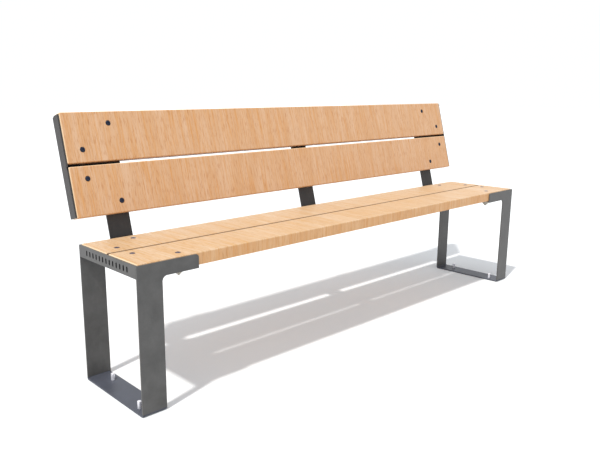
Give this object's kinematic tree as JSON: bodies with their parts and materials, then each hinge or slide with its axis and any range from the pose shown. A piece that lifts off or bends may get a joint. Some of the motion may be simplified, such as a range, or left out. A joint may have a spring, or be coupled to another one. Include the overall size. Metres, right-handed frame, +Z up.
{
  "type": "park bench",
  "caption": "Long park bench with a leaning backrest: pale wooden boards carried by flat steel end frames and a bent steel bar near the middle.",
  "frame": {"origin": "on the ground, under the middle of the bench's bounding box", "axes": "+X along the bench from left to right, seen from the front, +Y from the seat's front edge to the backrest, +Z up; a sitter faces -Y"},
  "size_m": [2.01, 0.4808, 0.828],
  "materials": {
    "wood": "pale oiled beech-like boards, satin, fine streaked grain",
    "powder_coat": "mid-grey powder coat, semi-gloss",
    "screw_steel": "dark blued steel, satin",
    "nut_steel": "dull yellowish-grey passivated zinc, satin",
    "stud_steel": "bright zinc-plated steel"
  },
  "bodies": {
    "root": {"front_seat_board": "wood", "left_anchor_stud_front": "stud_steel", "left_anchor_stud_rear": "stud_steel", "left_back_nut_lower_inner": "nut_steel", "left_back_nut_lower_outer": "nut_steel", "left_back_nut_upper_inner": "nut_steel", "left_back_nut_upper_outer": "nut_steel", "left_back_screw_lower_inner": "screw_steel", "left_back_screw_lower_outer": "screw_steel", "left_back_screw_upper_inner": "screw_steel", "left_back_screw_upper_outer": "screw_steel", "left_back_support": "powder_coat", "left_base_plate": "powder_coat", "left_end_apron": "powder_coat", "left_front_leg": "powder_coat", "left_rear_leg": "powder_coat", "left_seat_nut_front_inner": "nut_steel", "left_seat_nut_front_outer": "nut_steel", "left_seat_nut_rear_inner": "nut_steel", "left_seat_nut_rear_outer": "nut_steel", "left_seat_screw_front_inner": "screw_steel", "left_seat_screw_front_outer": "screw_steel", "left_seat_screw_rear_inner": "screw_steel", "left_seat_screw_rear_outer": "screw_steel", "left_seat_tray": "powder_coat", "lower_back_board": "wood", "middle_back_screw_lower": "screw_steel", "middle_back_screw_upper": "screw_steel", "middle_seat_screw_front": "screw_steel", "middle_seat_screw_rear": "screw_steel", "middle_support": "powder_coat", "rear_seat_board": "wood", "right_anchor_stud_front": "stud_steel", "right_anchor_stud_rear": "stud_steel", "right_back_nut_lower_inner": "nut_steel", "right_back_nut_lower_outer": "nut_steel", "right_back_nut_upper_inner": "nut_steel", "right_back_nut_upper_outer": "nut_steel", "right_back_screw_lower_inner": "screw_steel", "right_back_screw_lower_outer": "screw_steel", "right_back_screw_upper_inner": "screw_steel", "right_back_screw_upper_outer": "screw_steel", "right_back_support": "powder_coat", "right_base_plate": "powder_coat", "right_end_apron": "powder_coat", "right_front_leg": "powder_coat", "right_rear_leg": "powder_coat", "right_seat_nut_front_inner": "nut_steel", "right_seat_nut_front_outer": "nut_steel", "right_seat_nut_rear_inner": "nut_steel", "right_seat_nut_rear_outer": "nut_steel", "right_seat_screw_front_inner": "screw_steel", "right_seat_screw_front_outer": "screw_steel", "right_seat_screw_rear_inner": "screw_steel", "right_seat_screw_rear_outer": "screw_steel", "right_seat_tray": "powder_coat", "upper_back_board": "wood"}
  },
  "joints": []
}
